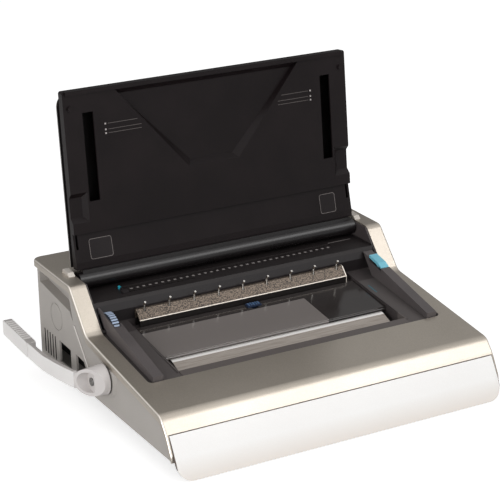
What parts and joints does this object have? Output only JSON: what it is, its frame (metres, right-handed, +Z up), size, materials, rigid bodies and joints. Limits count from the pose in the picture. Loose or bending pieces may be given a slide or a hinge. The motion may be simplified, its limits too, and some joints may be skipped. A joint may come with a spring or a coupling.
{
  "type": "electric wire binding machine",
  "caption": "Counter-top electric punch and wire closer with an open document lid, size dial, hook bar, closing trough, side lever and chip drawer.",
  "frame": {"origin": "on the table, under the middle of the body in plan; the raised pad of the base pan lies 2 mm above it, because the rubber feet hold it up", "axes": "+X to the machine's right, along its width; +Y to its back; +Z up"},
  "size_m": [0.4746, 0.423, 0.3654],
  "materials": {
    "hood_paint": "metallic champagne lacquer, satin",
    "front_paint": "metallic champagne lacquer, satin",
    "cover_paint": "warm grey lacquer, fine texture",
    "pan_plastic": "black moulding, fine texture",
    "tray_plastic": "black moulding, fine texture",
    "foot_rubber": "matt black rubber",
    "plated_steel": "zinc plated sheet",
    "liner_plastic": "charcoal moulding, fine texture",
    "arm_plastic": "charcoal moulding, smooth",
    "dial_plastic": "pale blue moulding",
    "button_plastic": "cyan moulding",
    "latch_plastic": "blue moulding",
    "hook_bar_steel": "bronzed steel",
    "hook_steel": "bright wire",
    "smoke_plastic": "polished smoked black",
    "jaw_steel": "bright bar",
    "anvil_steel": "plated strip",
    "lever_plastic": "light grey moulding",
    "grip_plastic": "light grey moulding, ribbed",
    "lid_plastic": "black moulding, fine texture",
    "lid_liner_plastic": "charcoal moulding",
    "barrel_plastic": "polished black",
    "cap_plastic": "light lacquer",
    "punch_steel": "ground tool steel",
    "gear_plastic": "white gear moulding",
    "shaft_steel": "turned steel",
    "bearing_brass": "sintered bearing",
    "motor_steel": "motor can",
    "board_green": "circuit board",
    "power_unit": "power unit",
    "fitting_black": "black moulding",
    "screw_steel": "plated screw"
  },
  "bodies": {
    "housing": {"top_shell": "hood_paint", "right_side_cover": "cover_paint", "left_side_cover": "cover_paint", "rear_cover": "cover_paint", "base_pan": "pan_plastic", "rubber_feet": "foot_rubber", "chassis_plate": "plated_steel", "left_frame": "plated_steel", "right_frame": "plated_steel", "deck_liner": "liner_plastic", "left_arm": "arm_plastic", "right_arm": "arm_plastic", "button_switch": "fitting_black", "button_spring": "hook_steel", "hook_bar": "hook_bar_steel", "wire_hooks": "hook_steel", "storage_tray": "tray_plastic", "closing_anvil": "anvil_steel", "jaw_guides": "gear_plastic", "shaft_bearings": "bearing_brass", "hinge_caps": "cap_plastic", "die_plate": "punch_steel", "guide_plate": "punch_steel", "throat_floor": "punch_steel", "punch_brackets": "plated_steel", "gearbox_plate": "plated_steel", "motor": "motor_steel", "chip_chute": "tray_plastic", "circuit_board": "board_green", "transformer": "power_unit", "power_inlet": "fitting_black", "switch_housing": "fitting_black", "housing_screws": "screw_steel"},
    "drawer": {"chip_drawer_tray": "tray_plastic", "drawer_front": "front_paint"},
    "dial": {"size_dial": "dial_plastic"},
    "button": {"punch_button": "button_plastic"},
    "storage_cover": {"storage_lid": "smoke_plastic"},
    "latch": {"storage_latch": "latch_plastic"},
    "jaw": {"jaw_bar": "jaw_steel", "jaw_racks": "jaw_steel"},
    "lever": {"lever_shaft": "shaft_steel", "lever_pinions": "shaft_steel", "lever_arm": "lever_plastic", "lever_grip": "grip_plastic", "lever_screw": "screw_steel"},
    "lid": {"lid_shell": "lid_plastic", "lid_liner": "lid_liner_plastic", "hinge_barrel": "barrel_plastic", "hinge_pins": "shaft_steel"},
    "guide": {"edge_guide": "button_plastic"},
    "punch": {"punch_bar": "punch_steel", "punch_pins": "punch_steel"},
    "cams": {"camshaft": "shaft_steel", "cam_gear": "gear_plastic"},
    "idler": {"idler_gear": "gear_plastic"},
    "pinion": {"motor_pinion": "bearing_brass"},
    "rocker": {"power_rocker": "fitting_black"}
  },
  "joints": [
    {"name": "drawer_slide", "type": "slide", "parent": "housing", "child": "drawer", "axis": [0, -1, 0], "range_m": [0, 0.2]},
    {"name": "dial_turn", "type": "hinge", "parent": "housing", "child": "dial", "pos_m": [-0.1865, 0.042, 0.093], "axis": [1, 0, 0], "range_deg": [-150, 150]},
    {"name": "button_press", "type": "slide", "parent": "housing", "child": "button", "axis": [0, 0, -1], "range_m": [0, 0.003], "stiffness_N_per_m": 400, "springref_m": -0.002, "deforming": ["button_spring"]},
    {"name": "storage_hinge", "type": "hinge", "parent": "housing", "child": "storage_cover", "pos_m": [0, -0.029, 0.0746], "axis": [-1, 0, 0], "range_deg": [-100, 0]},
    {"name": "latch_slide", "type": "slide", "parent": "storage_cover", "child": "latch", "axis": [0, -0.9912, -0.1323], "range_m": [0, 0.005]},
    {"name": "lever_turn", "type": "hinge", "parent": "housing", "child": "lever", "pos_m": [-0.24, -0.016, 0.061], "axis": [1, 0, 0], "range_deg": [0, 110]},
    {"name": "jaw_slide", "type": "slide", "parent": "housing", "child": "jaw", "axis": [0, -1, 0], "range_m": [0, 0.0117]},
    {"name": "lid_hinge", "type": "hinge", "parent": "housing", "child": "lid", "pos_m": [0, 0.112, 0.135], "axis": [1, 0, 0], "range_deg": [0, 109.3]},
    {"name": "guide_slide", "type": "slide", "parent": "housing", "child": "guide", "axis": [1, 0, 0], "range_m": [0, 0.087]},
    {"name": "camshaft_turn", "type": "hinge", "parent": "housing", "child": "cams", "pos_m": [0, 0.13942, 0.09619], "axis": [1, 0, 0], "range_deg": [0, 180]},
    {"name": "punch_slide", "type": "slide", "parent": "housing", "child": "punch", "axis": [0, -0.9898, 0.1426], "range_m": [0, 0.01]},
    {"name": "idler_turn", "type": "hinge", "parent": "housing", "child": "idler", "pos_m": [0.175, 0.16251, 0.0731], "axis": [1, 0, 0], "range_deg": [-600.1, 0]},
    {"name": "pinion_turn", "type": "hinge", "parent": "housing", "child": "pinion", "pos_m": [0.175, 0.13282, 0.06787], "axis": [1, 0, 0], "range_deg": [0, 2400.1]},
    {"name": "rocker_turn", "type": "hinge", "parent": "housing", "child": "rocker", "pos_m": [-0.118, 0.1927, 0.072], "axis": [0, 0, -1], "range_deg": [0, 14]}
  ],
  "couplings": [
    {"joint": "jaw_slide", "follows": "lever_turn", "m_per_rad": 0.006},
    {"joint": "camshaft_turn", "follows": "punch_slide", "rad_per_m": 314.16},
    {"joint": "idler_turn", "follows": "punch_slide", "rad_per_m": -1047.2},
    {"joint": "pinion_turn", "follows": "punch_slide", "rad_per_m": 4188.8}
  ]
}
